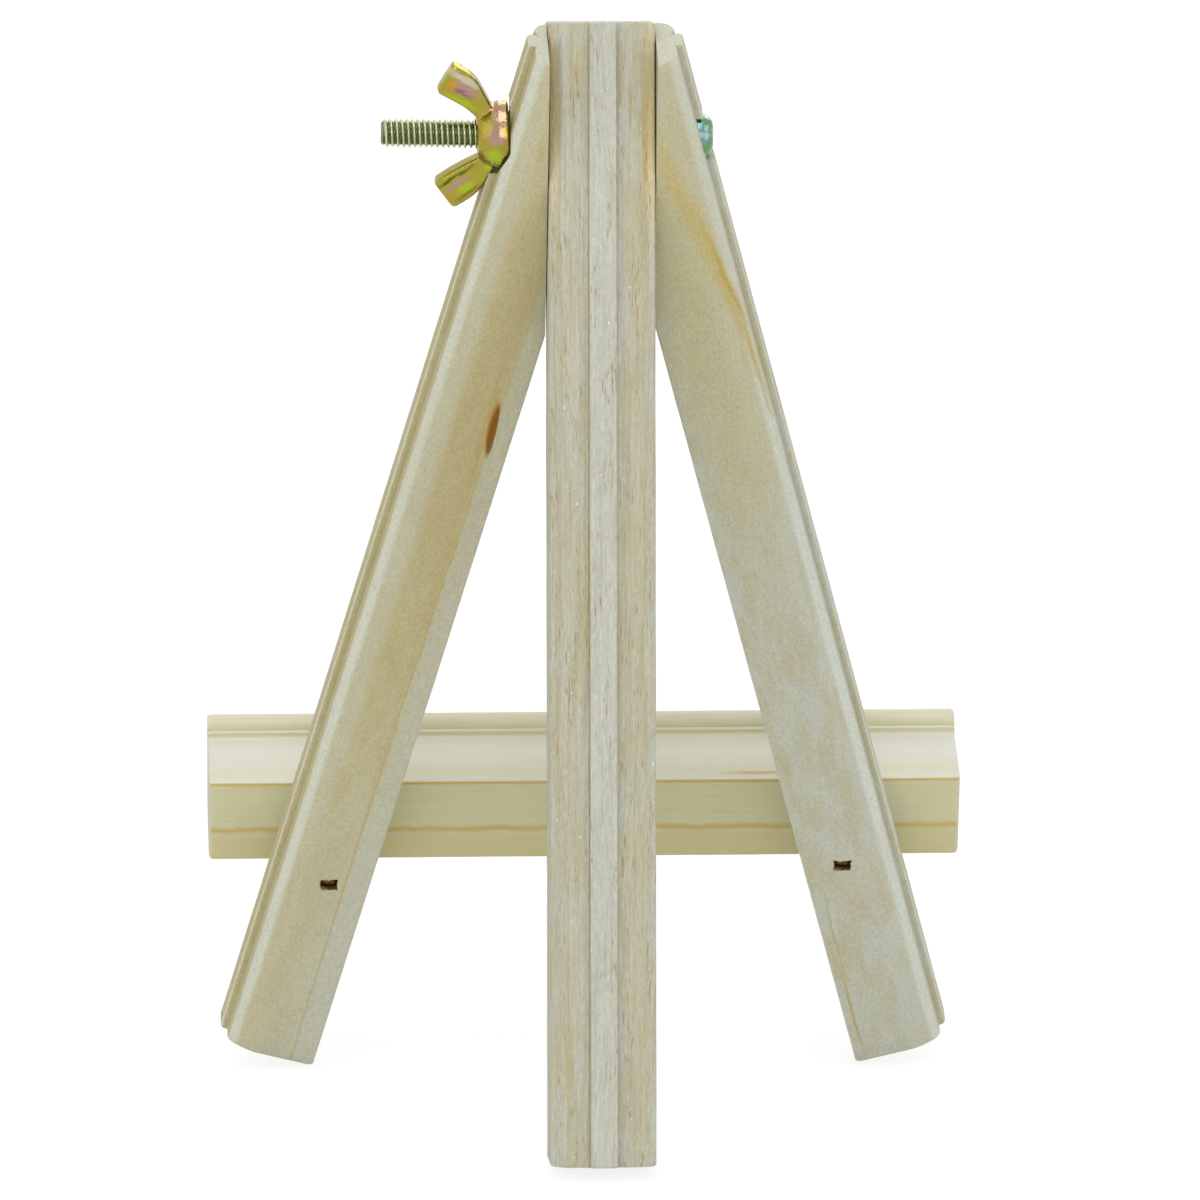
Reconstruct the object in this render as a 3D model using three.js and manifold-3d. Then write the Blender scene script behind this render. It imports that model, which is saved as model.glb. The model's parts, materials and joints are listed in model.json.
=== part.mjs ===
// A small table easel in pale, bare wood. Two splayed front legs carry a nailed-on ledge, and a back leg
// swings between their tops on a machine screw that a wing nut clamps.
//
// Units are millimetres and +Z is up. The easel's front faces -Y, the wing nut is on the +X side, and the
// origin is on the floor under the middle of the whole easel.

import * as THREE from "three";
import { mergeVertices } from "three/addons/utils/BufferGeometryUtils.js";
import Module from "manifold-3d";

// ---- Driving dimensions ----

// Stance.
const FRONT_LEG_LENGTH = 167.3; // outer length of a front leg, cut square at both ends
const SPLAY = degrees(15); // each front leg from the middle line, in the plane of the frame
const FRAME_LEAN = degrees(16); // the front frame leans back by this much
const BACK_LEAN = degrees(9); // the back leg leans the other way by this much
const TOP_ABOVE_SCREW = 11.8; // from the screw to a front leg's top end, along the leg
const BACK_TOP_ABOVE_SCREW = 16; // the same on the back leg

// The moulded stock that all three legs are cut from. It is flat on three sides and moulded on the fourth.
const STOCK_WIDTH = 14.1; // from the plain side to the face of the moulded strip
const STOCK_DEPTH = 14.8;
const STRIP_STAND = 1; // the strip stands this far out of the moulded side
const STRIP_START = 5.5; // from the back of the stock to the strip
const STRIP_WIDTH = 3.85;
const STRIP_ROUNDING = 0.5;
const NOTCH = 0.4; // the fine groove beside the strip
const BEVEL_WIDTH = 4; // the shallow slope between the flat back and the moulded side
const BEVEL_DROP = 1.3;
const SHOULDER = 1.1; // rounding between that slope and the moulded side
const LOBE_STEP = 0.7; // the rounded front corner starts this far below the moulded side
const LOBE_WIDTH = 2.4;
const LOBE_SWELL = 0.2; // its curve is drawn towards this far past the moulded side
const LOBE_FULLNESS = 0.4; // and starts straight for this share of its depth
const EDGE_ROUNDING = 0.6; // the two plain corners

// The ledge: a deck with a raised half-round lip along its front.
const LEDGE_LENGTH = 111;
const LEDGE_HEIGHT = 13; // deck to underside
const DECK_ABOVE_FEET = 40; // measured up the frame
const DECK_DEPTH = 13.2;
const LIP_STEP = 1; // the lip's plinth above the deck
const LIP_SLOPE = 0.3; // how far forward the plinth's face leans
const LIP_SHELF = 0.9; // the flat between that face and the half-round
const LIP_RADIUS = 1.65;
const LEDGE_NOSE = 1.5; // rounding under the front

// The screw and its wing nut.
const THREAD_RADIUS = 2.08;
const THREAD_ROOT = 1.6;
const THREAD_PITCH = 0.794;
const THREADED_LENGTH = 19; // the far end of the screw that shows its thread
const SCREW_LENGTH = 44.45; // under the head
const HEAD_RADIUS = 3.45;
const HEAD_HEIGHT = 2.8;
const HEAD_FLAT = 0.35; // the flat of its crown, as a share of its radius
const HEAD_RIM = 0.9; // the straight part of its edge
const RECESS_SPAN = 4;
const RECESS_WIDTH = 1;
const RECESS_DEPTH = 1.6;
const NUT_RADIUS = 4.6;
const NUT_HEIGHT = 4.4;
const WING_THICKNESS = 2.3;
const WING_WIDTH = 4.5;
const WING_LEAN = degrees(33); // each wing from the screw's axis
const WING_REACH = 10.9; // from the screw's axis to a wing's outer corner
const WING_RISE = 9.9; // from the nut's seat to a wing's highest corner
const WING_TAB = 3.7; // the straight part of its outer edge
const WING_FOOT = 0.6; // from the nut's seat to where a wing leaves the barrel
const WING_ROOT = 2.8; // and from the screw's axis to its end inside the barrel

// The brads that nail the legs to the ledge.
const BRAD_LENGTH = 25;
const BRAD_HEAD = [2, 1.25, 0.6]; // width, height, thickness
const BRAD_SHANK = [1.25, 1];
const BRAD_SUNK = 0.9; // the head lies this far below the wood
const BRAD_ACROSS = 5.9; // from a leg's inner edge
const NUT_SIDE_BRAD_DROP = 8.8; // below the deck
const HEAD_SIDE_BRAD_DROP = 6;

// Seats and clearances.
const GAP = 0.3; // between pieces that touch
const SCREW_CLEARANCE = 0.32; // around the screw in wood
const NUT_CLEARANCE = 0.12; // around the screw in the nut
const WING_CLEARANCE = 0.7; // between a turning wing and the leg's strip
const HEAD_SINK = 0.66; // the head's counterbore, below the leg's moulded side
const NUT_SINK = 0.56; // the nut's
const SEAT_MARGIN = 0.35; // around the head in its counterbore
const NUT_SEAT_MARGIN = 2.3; // around the nut in its own, which lets the wings go round

const ROUND = 24; // sides of a round cut
const THREAD_SIDES = 16;
const CURVE_STEPS = 3;

// ---- Worked out from them ----

const BODY_WIDTH = STOCK_WIDTH - STRIP_STAND;
const MITRE = STOCK_DEPTH / 2 + GAP; // the flat that each front leg turns to the back leg
const FOOT_ALONG_LEG = FRONT_LEG_LENGTH - TOP_ABOVE_SCREW;
const FEET_BELOW_SCREW = FOOT_ALONG_LEG * Math.cos(SPLAY); // down the frame
const SCREW_HEIGHT =
  FEET_BELOW_SCREW * Math.cos(FRAME_LEAN) + (STOCK_DEPTH / 2) * Math.sin(FRAME_LEAN);
const BACK_FOOT_BELOW_SCREW =
  (SCREW_HEIGHT - (BODY_WIDTH / 2) * Math.sin(BACK_LEAN)) / Math.cos(BACK_LEAN);
const DECK_LEVEL = DECK_ABOVE_FEET - FEET_BELOW_SCREW;
const LEDGE_DEPTH = DECK_DEPTH + LIP_SLOPE + LIP_SHELF + 2 * LIP_RADIUS;
const HEAD_SEAT = BODY_WIDTH / Math.cos(SPLAY) - HEAD_SINK; // from the middle to its counterbore's floor
const NUT_SEAT = BODY_WIDTH / Math.cos(SPLAY) - NUT_SINK;
const NUT_SEAT_RADIUS = NUT_RADIUS + NUT_SEAT_MARGIN;

// ---- Materials ----

const WOOD = { roughness: 0.75, metalness: 0 };
const legWood = new THREE.MeshStandardMaterial({ color: "#d3cba9", ...WOOD });
const backLegWood = new THREE.MeshStandardMaterial({ color: "#d2cdb8", ...WOOD });
const ledgeWood = new THREE.MeshStandardMaterial({ color: "#dbd4b2", ...WOOD });
const blueZinc = new THREE.MeshStandardMaterial({ color: "#a9b5ad", roughness: 0.3, metalness: 1 });
const yellowZinc = new THREE.MeshStandardMaterial({ color: "#c2a45c", roughness: 0.28, metalness: 1 });
const bradSteel = new THREE.MeshStandardMaterial({ color: "#6b5a3e", roughness: 0.5, metalness: 1 });

// ---- Small tools ----

const wasm = await Module();
wasm.setup();

function degrees(angle) {
  return (angle * Math.PI) / 180;
}

function solid(geometry) {
  const bare = geometry.clone();
  bare.deleteAttribute("normal");
  bare.deleteAttribute("uv");
  const merged = mergeVertices(bare, 1e-5);
  return new wasm.Manifold(
    new wasm.Mesh({
      numProp: 3,
      vertProperties: new Float32Array(merged.attributes.position.array),
      triVerts: new Uint32Array(merged.index.array),
    }),
  );
}

function geometryOf(manifold) {
  const mesh = manifold.getMesh();
  const geometry = new THREE.BufferGeometry();
  geometry.setAttribute("position", new THREE.BufferAttribute(mesh.vertProperties, 3));
  geometry.setIndex(new THREE.BufferAttribute(mesh.triVerts, 1));
  geometry.computeVertexNormals();
  return geometry;
}

function joined(...geometries) {
  return geometries.map(solid).reduce((all, next) => all.add(next));
}

function without(base, ...cutters) {
  return cutters.map(solid).reduce((rest, next) => rest.subtract(next), base);
}

// An outline extruded from `start`, with its own x and y turned to the directions `across` and `up`.
function prism(outline, length, start, across, up) {
  const geometry = new THREE.ExtrudeGeometry(outline, {
    depth: length,
    bevelEnabled: false,
    curveSegments: CURVE_STEPS,
  });
  const along = new THREE.Vector3().crossVectors(across, up);
  const place = new THREE.Matrix4().makeBasis(across, up, along).setPosition(start);
  return geometry.applyMatrix4(place);
}

// A cylinder along X between two places on it.
function rod(radius, from, to) {
  return new THREE.CylinderGeometry(radius, radius, Math.abs(to - from), ROUND)
    .rotateZ(Math.PI / 2)
    .translate((from + to) / 2, 0, 0);
}

function block(width, height, depth, x, y, z) {
  return new THREE.BoxGeometry(width, height, depth).translate(x, y, z);
}

function mesh(name, geometry, material) {
  const made = new THREE.Mesh(geometry, material);
  made.name = name;
  return made;
}

// ---- Legs ----

// The stock's section. x runs from the plain side to the moulded one, y from the back to the front.
function stockSection() {
  const side = BODY_WIDTH;
  const face = STOCK_WIDTH;
  const shoulder = Math.min(SHOULDER, (STRIP_START - NOTCH - BEVEL_DROP) / 2);
  const stripEnd = STRIP_START + STRIP_WIDTH;
  const soft = Math.min(STRIP_ROUNDING, STRIP_WIDTH / 3, STRIP_STAND);
  const front = STOCK_DEPTH;
  const lobe = (front - stripEnd) * LOBE_FULLNESS;
  const swell = side + LOBE_SWELL;
  const edge = EDGE_ROUNDING;
  const outline = new THREE.Shape();
  outline.moveTo(edge, 0);
  outline.lineTo(side - BEVEL_WIDTH, 0);
  outline.lineTo(side - shoulder, BEVEL_DROP);
  outline.quadraticCurveTo(side, BEVEL_DROP, side, BEVEL_DROP + shoulder);
  outline.lineTo(side, STRIP_START - NOTCH);
  outline.lineTo(side - NOTCH, STRIP_START);
  outline.lineTo(face - soft, STRIP_START);
  outline.quadraticCurveTo(face, STRIP_START, face, STRIP_START + soft);
  outline.lineTo(face, stripEnd - soft);
  outline.quadraticCurveTo(face, stripEnd, face - soft, stripEnd);
  outline.lineTo(side - LOBE_STEP, stripEnd);
  outline.bezierCurveTo(swell, stripEnd + lobe, side, front, side - LOBE_WIDTH, front);
  outline.lineTo(edge, front);
  outline.quadraticCurveTo(0, front, 0, front - edge);
  outline.lineTo(0, edge);
  outline.quadraticCurveTo(0, 0, edge, 0);
  return outline;
}

// The place of a brad in the frame, on the nut's side or the head's.
function bradPlace(side) {
  const drop = side > 0 ? NUT_SIDE_BRAD_DROP : HEAD_SIDE_BRAD_DROP;
  const y = DECK_LEVEL - drop;
  const x = -y * Math.tan(SPLAY) + BRAD_ACROSS / Math.cos(SPLAY);
  return new THREE.Vector2(side * x, y);
}

// A front leg in the frame's own directions: x across, y up the frame, z forward, the screw along x through
// the origin. The uncut inner edges of the legs cross at the screw. `side` is 1 for the nut's side.
function frontLeg(side) {
  const outward = new THREE.Vector3(side * Math.cos(SPLAY), Math.sin(SPLAY), 0);
  const forward = new THREE.Vector3(0, 0, 1);
  const upLeg = new THREE.Vector3(-side * Math.sin(SPLAY), Math.cos(SPLAY), 0);
  const start = upLeg.clone().multiplyScalar(side > 0 ? TOP_ABOVE_SCREW : -FOOT_ALONG_LEG);
  start.z = -STOCK_DEPTH / 2;
  const stock = prism(stockSection(), FRONT_LEG_LENGTH, start, outward, forward);
  const reach = FRONT_LEG_LENGTH + STOCK_WIDTH;
  const seat = side > 0 ? NUT_SEAT : HEAD_SEAT;
  const seatRadius = side > 0 ? NUT_SEAT_RADIUS : HEAD_RADIUS + SEAT_MARGIN;
  const brad = bradPlace(side);
  const pocket = BRAD_SUNK + BRAD_HEAD[2] + GAP;
  return without(
    solid(stock),
    block(reach, 2 * reach, reach, side * (MITRE - reach / 2), 0, 0),
    rod(THREAD_RADIUS + SCREW_CLEARANCE, 0, side * reach),
    rod(seatRadius, side * seat, side * (seat + reach)),
    bradHole(brad, -STOCK_DEPTH / 2, pocket, BRAD_HEAD),
    bradHole(brad, 0, STOCK_DEPTH, BRAD_SHANK),
  );
}

// A square hole for a brad, which reaches `depth` to both sides of z.
function bradHole(place, z, depth, [width, height]) {
  return block(width + 2 * GAP, height + 2 * GAP, 2 * depth, place.x, place.y, z);
}

// The back leg in its own directions: x across, y to the rear, z up the leg, the screw along x through the
// origin. Its moulded side faces the rear.
function backLeg() {
  const start = new THREE.Vector3(STOCK_DEPTH / 2, -BODY_WIDTH / 2, -BACK_FOOT_BELOW_SCREW);
  const rear = new THREE.Vector3(0, 1, 0);
  const across = new THREE.Vector3(-1, 0, 0);
  const length = BACK_FOOT_BELOW_SCREW + BACK_TOP_ABOVE_SCREW;
  const bore = rod(THREAD_RADIUS + SCREW_CLEARANCE, -STOCK_DEPTH, STOCK_DEPTH);
  return without(solid(prism(stockSection(), length, start, rear, across)), bore);
}

// ---- Ledge ----

// The ledge's section. x runs forward from its rear face, y up from the deck.
function ledgeSection() {
  const shelf = DECK_DEPTH + LIP_SLOPE;
  const bead = shelf + LIP_SHELF + LIP_RADIUS;
  const front = LEDGE_DEPTH;
  const outline = new THREE.Shape();
  outline.moveTo(0, 0);
  outline.lineTo(0, -LEDGE_HEIGHT);
  outline.lineTo(front - LEDGE_NOSE, -LEDGE_HEIGHT);
  outline.quadraticCurveTo(front, -LEDGE_HEIGHT, front, LEDGE_NOSE - LEDGE_HEIGHT);
  outline.lineTo(front, LIP_STEP);
  for (let step = 1; step <= 2 * CURVE_STEPS; step += 1) {
    const turn = (Math.PI * step) / (2 * CURVE_STEPS);
    outline.lineTo(bead + LIP_RADIUS * Math.cos(turn), LIP_STEP + LIP_RADIUS * Math.sin(turn));
  }
  outline.lineTo(shelf, LIP_STEP);
  outline.lineTo(DECK_DEPTH, 0);
  return outline;
}

// The ledge in the frame's directions, with a blind hole for each brad.
function ledge() {
  const rearFace = STOCK_DEPTH / 2 + GAP;
  const start = new THREE.Vector3(LEDGE_LENGTH / 2, DECK_LEVEL, rearFace);
  const forward = new THREE.Vector3(0, 0, 1);
  const up = new THREE.Vector3(0, 1, 0);
  const board = prism(ledgeSection(), LEDGE_LENGTH, start, forward, up);
  const bradEnd = BRAD_LENGTH + BRAD_SUNK - STOCK_DEPTH / 2;
  const depth = bradEnd + GAP - rearFace;
  const holes = [1, -1].map((side) => bradHole(bradPlace(side), rearFace, depth, BRAD_SHANK));
  return without(solid(board), ...holes);
}

// A brad: a flat head and a square shank, driven forward through a leg into the ledge.
function brad(side) {
  const place = bradPlace(side);
  const back = BRAD_SUNK - STOCK_DEPTH / 2;
  const [width, height, thickness] = BRAD_HEAD;
  const head = block(width, height, thickness, place.x, place.y, back + thickness / 2);
  const shank = block(...BRAD_SHANK, BRAD_LENGTH, place.x, place.y, back + BRAD_LENGTH / 2);
  return joined(head, shank);
}

// ---- Screw and wing nut, both along X ----

// Half the outline of the screw, from the crown of its head to its tip, as radius and distance along it.
function screwProfile() {
  const points = [new THREE.Vector2(0, -HEAD_HEIGHT)];
  for (let step = 0; step <= CURVE_STEPS; step += 1) {
    const turn = (Math.PI * step) / (2 * CURVE_STEPS);
    const radius = HEAD_RADIUS * (HEAD_FLAT + (1 - HEAD_FLAT) * Math.sin(turn));
    const below = (HEAD_HEIGHT - HEAD_RIM) * (1 - Math.cos(turn));
    points.push(new THREE.Vector2(radius, below - HEAD_HEIGHT));
  }
  points.push(new THREE.Vector2(HEAD_RADIUS, 0));
  const thread = Math.min(THREADED_LENGTH, SCREW_LENGTH - THREAD_PITCH);
  const turns = Math.floor(thread / THREAD_PITCH);
  const threadStart = SCREW_LENGTH - turns * THREAD_PITCH;
  points.push(new THREE.Vector2(THREAD_RADIUS, 0));
  for (let turn = 0; turn < turns; turn += 1) {
    const crest = threadStart + turn * THREAD_PITCH;
    points.push(new THREE.Vector2(THREAD_RADIUS, crest));
    points.push(new THREE.Vector2(THREAD_ROOT, crest + THREAD_PITCH / 2));
  }
  points.push(new THREE.Vector2(THREAD_ROOT, SCREW_LENGTH));
  points.push(new THREE.Vector2(0, SCREW_LENGTH));
  return points;
}

function screw() {
  const underHead = -(HEAD_SEAT + GAP);
  const turned = new THREE.LatheGeometry(screwProfile(), THREAD_SIDES)
    .rotateZ(-Math.PI / 2)
    .translate(underHead, 0, 0);
  const crown = underHead - HEAD_HEIGHT;
  return without(
    solid(turned),
    block(2 * RECESS_DEPTH, RECESS_SPAN, RECESS_WIDTH, crown, 0, 0),
    block(2 * RECESS_DEPTH, RECESS_WIDTH, RECESS_SPAN, crown, 0, 0),
  );
}

// How far the leg's strip stands above the nut's seat, at a distance from the screw's axis down the leg.
function stripAboveSeat(distance) {
  return STOCK_WIDTH / Math.cos(SPLAY) + distance * Math.tan(SPLAY) - NUT_SEAT - GAP;
}

// One wing's outline: x is the distance from the nut's seat, y the distance from the screw's axis. The side
// next to the leg keeps clear of the leg's strip all the way round.
function wingOutline() {
  const innerCorner = WING_REACH - WING_WIDTH * Math.cos(WING_LEAN);
  const outerCorner = WING_RISE - WING_WIDTH * Math.sin(WING_LEAN);
  const crotch = WING_RISE - (innerCorner - NUT_RADIUS) / Math.tan(WING_LEAN);
  const elbow = WING_REACH - WING_TAB * Math.sin(WING_LEAN);
  const seatEdge = NUT_SEAT_RADIUS - GAP;
  const outline = new THREE.Shape();
  outline.moveTo(WING_FOOT, WING_ROOT);
  outline.lineTo(WING_FOOT, NUT_RADIUS);
  outline.lineTo(stripAboveSeat(seatEdge) + WING_CLEARANCE, seatEdge);
  outline.lineTo(stripAboveSeat(elbow) + WING_CLEARANCE, elbow);
  outline.lineTo(outerCorner, WING_REACH);
  outline.lineTo(WING_RISE, innerCorner);
  outline.lineTo(crotch, NUT_RADIUS);
  outline.lineTo(NUT_HEIGHT - GAP, WING_ROOT);
  return outline;
}

function wingNut() {
  const seat = NUT_SEAT + GAP;
  const along = new THREE.Vector3(1, 0, 0);
  const wings = [1, -1].map((side) =>
    prism(
      wingOutline(),
      WING_THICKNESS,
      new THREE.Vector3(seat, (side * WING_THICKNESS) / 2, 0),
      along,
      new THREE.Vector3(0, 0, side),
    ),
  );
  return without(
    joined(rod(NUT_RADIUS, seat, seat + NUT_HEIGHT), ...wings),
    rod(THREAD_RADIUS + NUT_CLEARANCE, 0, 2 * seat + NUT_HEIGHT),
  );
}

// ---- The easel ----

const frontFrame = new THREE.Group();
frontFrame.rotation.x = Math.PI / 2 - FRAME_LEAN;
frontFrame.add(
  mesh("left_front_leg", geometryOf(frontLeg(1)), legWood),
  mesh("right_front_leg", geometryOf(frontLeg(-1)), legWood),
  mesh("ledge", geometryOf(ledge()), ledgeWood),
  mesh("left_brad", geometryOf(brad(1)), bradSteel),
  mesh("right_brad", geometryOf(brad(-1)), bradSteel),
);

const backFrame = new THREE.Group();
backFrame.rotation.x = BACK_LEAN;
backFrame.add(mesh("back_leg", geometryOf(backLeg()), backLegWood));

const easel = new THREE.Group();
easel.add(
  frontFrame,
  backFrame,
  mesh("hinge_screw", geometryOf(screw()), blueZinc),
  mesh("wing_nut", geometryOf(wingNut()), yellowZinc),
);

// The screw's axis is the easel's working origin. It is lifted to its height over the floor, and the whole
// easel is centred over the origin.
easel.updateMatrixWorld(true);
const bounds = new THREE.Box3().setFromObject(easel, true);
const middle = bounds.getCenter(new THREE.Vector3());
easel.position.set(-middle.x, -middle.y, -bounds.min.z);

export default easel;
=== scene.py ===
"""A small wooden table easel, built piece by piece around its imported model."""

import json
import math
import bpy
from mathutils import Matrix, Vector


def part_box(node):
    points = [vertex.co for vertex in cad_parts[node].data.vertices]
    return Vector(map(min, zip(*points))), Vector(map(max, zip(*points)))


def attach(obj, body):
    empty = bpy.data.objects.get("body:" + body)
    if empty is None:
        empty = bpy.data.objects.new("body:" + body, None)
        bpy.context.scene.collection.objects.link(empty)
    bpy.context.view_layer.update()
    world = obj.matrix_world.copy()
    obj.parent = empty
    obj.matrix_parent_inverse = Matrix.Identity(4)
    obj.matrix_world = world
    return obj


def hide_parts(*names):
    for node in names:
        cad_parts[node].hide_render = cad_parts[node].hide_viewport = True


bl_info = {
    "name": "Table Easel",
    "version": (1, 0, 0),
    "blender": (4, 5, 0),
    "location": "3D View > Sidebar > Easel",
    "description": "Builds a small wooden table easel with its screw and wing nut",
    "category": "Object",
}

import bmesh
import bpy
from bpy.props import FloatProperty, FloatVectorProperty, PointerProperty
from bpy.types import Operator, Panel, PropertyGroup
from mathutils import Matrix, Vector, noise

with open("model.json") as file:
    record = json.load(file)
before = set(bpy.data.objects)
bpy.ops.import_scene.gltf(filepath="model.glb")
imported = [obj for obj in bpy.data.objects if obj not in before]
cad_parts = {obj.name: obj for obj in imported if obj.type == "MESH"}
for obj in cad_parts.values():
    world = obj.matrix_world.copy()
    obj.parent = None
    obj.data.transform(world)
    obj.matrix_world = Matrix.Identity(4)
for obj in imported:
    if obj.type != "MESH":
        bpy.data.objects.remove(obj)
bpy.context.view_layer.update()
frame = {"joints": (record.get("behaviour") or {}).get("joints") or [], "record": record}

MM = 0.001
# The gap between pieces that touch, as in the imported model.
CLEARANCE = 0.3 * MM
# The spacing of the splits along a sawn piece, where its faces turn slightly uneven.
GRAIN_STEP = 2.5 * MM
# Where a front leg's bore starts, from the middle, and a length that carries a cutter past the wood.
BORE_START = 5 * MM
PAST = 60 * MM
# Where the cutter of the nut's bore starts and ends, from the nut's seat.
NUT_CUT = (-5 * MM, 15 * MM)
# The size of the cells that melt the barrel and the wings of the nut together.
CASTING_CELL = 0.14 * MM
# A wing's layers: each one's place in the thickness, and how far it is drawn in, in millimetres.
WING_LAYERS = ((-0.5, 0.3), (-0.4, 0.06), (-0.2, 0), (0.2, 0), (0.4, 0.06), (0.5, 0.3))
# A brad's head and shank: width, height, and depth in the wood at each end, in millimetres.
BRAD_PARTS = ((1.9, 1.2, -0.9, -1.4), (1.15, 0.95, -1.3, -25.8))
JOINTS = {joint["name"]: joint for joint in frame["joints"]}
PIVOT = Vector(JOINTS["back_leg_swing"]["pos_m"])
DECK_NORMAL = Vector(frame["record"]["mounts"][0]["axis"])


# ---- Settings ----


def length(name, millimetres, description):
    return FloatProperty(
        name=name, description=description, default=millimetres * MM, unit="LENGTH", precision=5
    )


def angle(name, degrees, description):
    return FloatProperty(
        name=name, description=description, default=math.radians(degrees), subtype="ANGLE"
    )


def number(name, value, description):
    return FloatProperty(name=name, description=description, default=value)


def linear(code):
    """The linear red, green and blue of a colour written as #rrggbb."""
    shares = [int(code[i : i + 2], 16) / 255 for i in (1, 3, 5)]
    return tuple(s / 12.92 if s <= 0.04045 else ((s + 0.055) / 1.055) ** 2.4 for s in shares)


def colour(name, code, description):
    return FloatVectorProperty(
        name=name, description=description, default=linear(code), subtype="COLOR", min=0, max=1
    )


class EaselTimber(PropertyGroup):
    """Sizes of the three legs and the moulded stock that they are cut from."""

    splay: angle("Splay", 15, "Lean of each front leg away from the middle")
    back_lean: angle("Back leg's lean", 9, "Lean of the back leg")
    width: length("Width", 14.1, "Stock's width, from its plain side to the strip's face")
    depth: length("Depth", 14.8, "Stock's depth")
    strip_stand: length("Strip's height", 1, "How far the strip stands out of the moulded side")
    strip_start: length("Strip's place", 5.5, "From the back of the stock to the strip")
    strip_width: length("Strip's width", 3.85, "Width of the strip")
    notch: length("Notch", 0.25, "Fine groove beside the strip")
    bevel_width: length("Bevel's width", 4, "Width of the shallow slope at the back")
    bevel_drop: length("Bevel's drop", 1.3, "How far that slope falls")
    lobe_step: length("Lobe's step", 0.7, "How far the front corner starts below the side")
    lobe_width: length("Lobe's width", 2.4, "Width of the rounded front corner")
    corner: length("Corner", 0.4, "Rounding of the plain corners")
    foot_rounding: length("Foot rounding", 0.8, "Sanded rounding of a front leg's foot")
    top_rounding: length("Top rounding", 0.55, "Sanded rounding of a front leg's top")
    back_rounding: length("Back rounding", 0.45, "Sanded rounding of the back leg's ends")
    back_swell: length("Back swell", 0.2, "How much the back leg swells to meet each front leg")
    top: length("Front top", 11.8, "From the screw to a front leg's top end")
    back_top: length("Back top", 16, "From the screw to the back leg's top end")
    front_length: length("Front leg's length", 167.3, "Length of a front leg")
    slack: angle("Slack", 0.3, "How much less the leg on the screw head's side is splayed")
    back_relief: number("Back leg's relief", 0.45, "Depth of its mouldings beside the others'")
    joint: length("Joint", 0.07, "Hairline left between a front leg and the back leg")
    mitre_rounding: length("Mitre's rounding", 0.08, "Rounding of the flat against the back leg")
    unevenness: length("Unevenness", 0.07, "How far sanding has worn the legs' faces")
    bore: length("Bore", 2.4, "Radius of the screw's hole")


class EaselLedge(PropertyGroup):
    """Sizes of the ledge."""

    height: length("Height", 13, "From the deck to the underside")
    deck: length("Deck", 13.2, "Depth of the deck")
    tilt: angle("Tilt", 0.19, "How far the ledge is nailed out of square")
    step: length("Plinth", 1, "Height of the lip's plinth over the deck")
    slope: length("Plinth's slope", 0.3, "How far the plinth's face leans forward")
    shelf: length("Shelf", 0.5, "Flat between that face and the half-round")
    bead: length("Bead", 1.65, "Radius of the lip's half-round")
    nose: length("Nose", 1.5, "Rounding under the front")
    corner: length("Corner", 0.35, "Rounding of the long edges")
    end_rounding: length("End rounding", 0.6, "Rounding of the sawn ends")
    end_slack: length("End slack", 0.05, "How far the sawn ends fall short, as the ledge is tilted")
    unevenness: length("Unevenness", 0.05, "How far sanding has worn its faces")


class EaselHardware(PropertyGroup):
    """Sizes of the screw, the wing nut and the brads."""

    thread_radius: length("Thread", 2.08, "Radius over the thread's crests")
    thread_root: length("Root", 1.62, "Radius at the thread's roots")
    pitch: length("Pitch", 0.794, "Thread's pitch")
    threaded: length("Threaded length", 19, "Length of thread at the tip")
    head_radius: length("Head", 3.45, "Radius of the screw's head")
    head_height: length("Head's height", 2.8, "Height of the screw's head")
    head_rim: length("Head's rim", 0.7, "Straight part of the head's edge")
    head_seat: length("Head's seat", 3.7, "Radius of the head's counterbore")
    recess_span: length("Recess", 4.2, "Span of the cross recess")
    recess_width: length("Recess width", 1.05, "Width of the cross recess")
    recess_depth: length("Recess depth", 1.7, "Depth of the cross recess")
    nut_radius: length("Barrel", 4.6, "Radius of the nut's barrel")
    nut_height: length("Barrel's height", 4.4, "Height of the nut's barrel")
    nut_seat: length("Nut's seat", 5.6, "Radius of the nut's spot face")
    screw_slack: angle("Screw's slack", 0.8, "How far the screw lies askew in its bore")
    nut_gap: length("Nut's gap", 0.28, "How far the nut's base comes down to touch the wood")
    wing_twist: angle("Wings' twist", 12, "Turn of the wings from upright")
    nut_tilt: angle("Nut's tilt", 2.6, "Play of the nut on its thread")
    nut_bore: length("Nut's bore", 2.34, "Radius of the nut's hole")
    wing_width: length("Wing's width", 4.9, "Width of a wing")
    wing_spare: length("Wing's spare", 0.6, "Reach that the casting's smoothing takes off again")
    wing_thickness: length("Wing's thickness", 2.7, "Thickness of a wing")
    lower_wing: length("Lower wing", 0.9, "How much farther out the lower wing's tip stands")
    lower_short: length("Lower wing, short", 0.9, "How much shorter the lower wing reaches")
    wing_lean: angle("Wing's lean", 33, "Lean of a wing from the screw's axis")
    hole_width: length("Hole's width", 2.6, "Width of a brad's torn hole")
    hole_height: length("Hole's height", 1.7, "Height of a brad's torn hole")
    hole_depth: length("Hole's depth", 1.8, "Depth of a brad's torn hole")
    brad_bore: length("Brad's bore", 0.9, "Radius of the hole round a brad's shank")


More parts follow.
